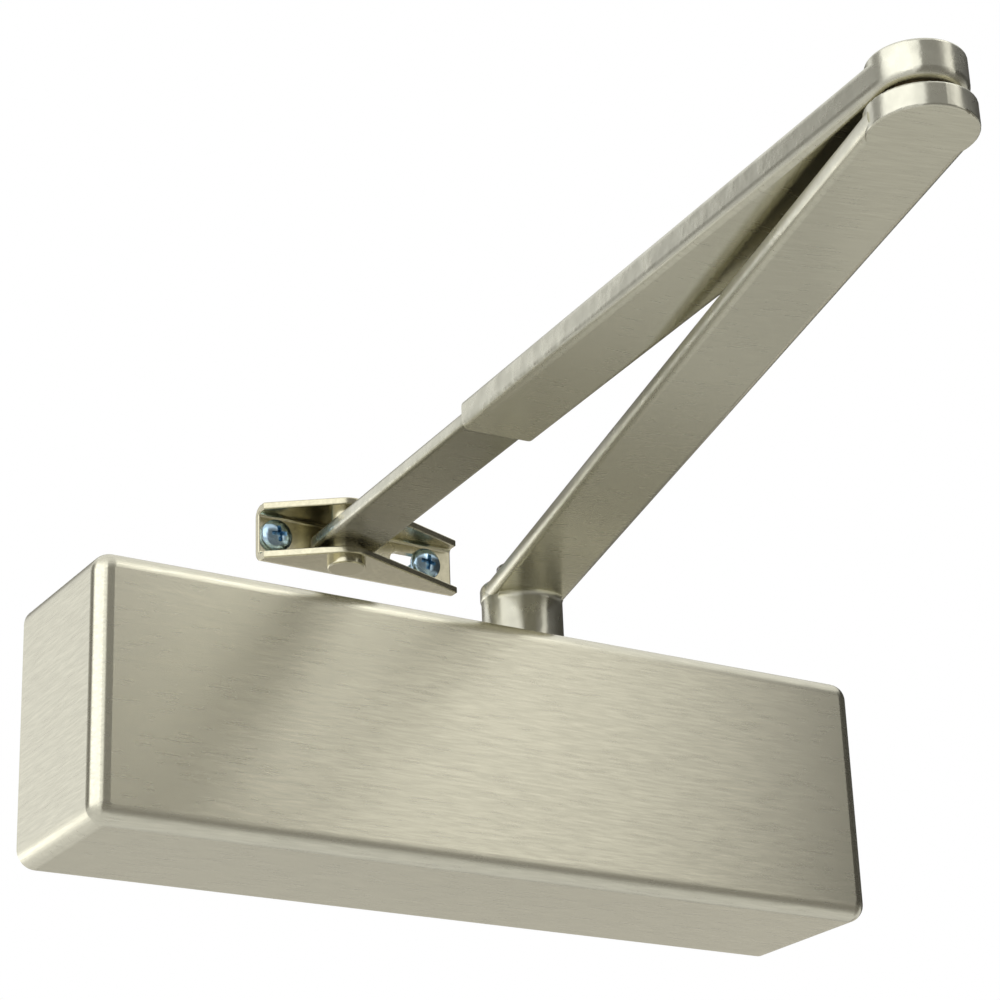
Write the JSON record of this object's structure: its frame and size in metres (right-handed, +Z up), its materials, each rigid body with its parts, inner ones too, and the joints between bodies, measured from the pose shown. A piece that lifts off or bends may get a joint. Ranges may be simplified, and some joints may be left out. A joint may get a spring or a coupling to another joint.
{
  "type": "door closer",
  "caption": "Overhead hydraulic door closer with a box cover, rack-and-pinion body, folding double-lever arm and frame bracket.",
  "frame": {"origin": "on the door face, at the middle of the case's four fixing holes", "axes": "X along the case towards the valve end, +Y into the door, +Z up"},
  "size_m": [0.225, 0.2795, 0.1048],
  "materials": {
    "satin_cover": "satin brushed nickel",
    "satin_arm": "satin brushed nickel",
    "plated_bracket": "bright nickel plate on pressed steel",
    "zinc_steel": "bright zinc plate",
    "turned_steel": "machined",
    "spring_steel": "oil-hardened",
    "cast_case": "as cast, machined bores",
    "bearing_bronze": "sintered bronze",
    "valve_brass": "turned",
    "seal_rubber": "moulded, matt"
  },
  "bodies": {
    "case": {"case_casting": "cast_case", "spring_end_plug": "turned_steel", "valve_end_plug": "turned_steel", "spring_plug_ring": "seal_rubber", "valve_plug_ring": "seal_rubber", "upper_bearing": "bearing_bronze", "lower_bearing": "bearing_bronze", "upper_seal": "seal_rubber", "lower_seal": "seal_rubber", "upper_gland_nut": "turned_steel", "lower_gland_nut": "turned_steel", "cover_clips": "spring_steel", "clip_screws": "zinc_steel", "main_spring": "spring_steel"},
    "spindle": {"pinion_spindle": "turned_steel", "main_arm": "satin_arm", "arm_washer": "zinc_steel", "arm_screw": "zinc_steel", "elbow_pin": "satin_arm", "elbow_washer": "zinc_steel"},
    "piston": {"piston": "turned_steel", "piston_seal": "seal_rubber", "check_retainer": "turned_steel"},
    "check_ball": {"check_ball": "turned_steel"},
    "spring_seat": {"spring_seat": "turned_steel"},
    "power_screw": {"power_screw": "turned_steel"},
    "closing_valve": {"closing_valve": "valve_brass", "closing_valve_ring": "seal_rubber"},
    "latching_valve": {"latching_valve": "valve_brass", "latching_valve_ring": "seal_rubber"},
    "cover": {"cover": "satin_cover"},
    "forearm": {"forearm_sleeve": "satin_arm", "elbow_bush": "bearing_bronze", "clamp_screw": "zinc_steel"},
    "bar": {"slide_bar": "satin_arm"},
    "bracket": {"bracket": "plated_bracket", "bracket_pin": "plated_bracket", "lower_spacer": "zinc_steel", "upper_spacer": "zinc_steel", "bracket_screws": "zinc_steel"}
  },
  "joints": [
    {"name": "spindle_turn", "type": "hinge", "parent": "case", "child": "spindle", "pos_m": [0.0205, -0.0227, 0.04903], "axis": [0, 0, -1], "range_deg": [0, 180], "stiffness_Nm_per_rad": 3.1, "springref_deg": -91.67},
    {"name": "piston_slide", "type": "slide", "parent": "case", "child": "piston", "axis": [-1, 0, 0], "range_m": [0, 0.0283], "deforming": ["main_spring"]},
    {"name": "check_ball_lift", "type": "slide", "parent": "piston", "child": "check_ball", "axis": [1, 0, 0], "range_m": [0, 0.0009]},
    {"name": "power_screw_turn", "type": "hinge", "parent": "case", "child": "power_screw", "pos_m": [-0.0969, -0.0227, 0], "axis": [1, 0, 0], "range_deg": [0, 1440]},
    {"name": "seat_slide", "type": "slide", "parent": "case", "child": "spring_seat", "axis": [1, 0, 0], "range_m": [0, 0.006], "deforming": ["main_spring"]},
    {"name": "closing_valve_turn", "type": "hinge", "parent": "case", "child": "closing_valve", "pos_m": [0.09687, -0.03616, 0.01853], "axis": [1, 0, 0], "range_deg": [-360, 360]},
    {"name": "latching_valve_turn", "type": "hinge", "parent": "case", "child": "latching_valve", "pos_m": [0.09687, -0.03616, -0.01853], "axis": [1, 0, 0], "range_deg": [-360, 360]},
    {"name": "cover_pull", "type": "slide", "parent": "case", "child": "cover", "axis": [0, -1, 0], "range_m": [0, 0.06]},
    {"name": "elbow_pivot", "type": "hinge", "parent": "spindle", "child": "forearm", "pos_m": [-0.04238, -0.26725, 0.05633], "axis": [0, 0, 1], "range_deg": [0, 150]},
    {"name": "forearm_slide", "type": "slide", "parent": "forearm", "child": "bar", "axis": [0.0515, 0.9987, 0], "range_m": [-0.025, 0.035]},
    {"name": "bracket_pivot", "type": "hinge", "parent": "bar", "child": "bracket", "pos_m": [-0.02943, -0.01598, 0.05836], "axis": [0, 0, 1], "range_deg": [-75, 75]}
  ],
  "couplings": [
    {"joint": "piston_slide", "follows": "spindle_turn", "m_per_rad": 0.009},
    {"joint": "power_screw_turn", "follows": "seat_slide", "rad_per_m": 4188.8}
  ]
}
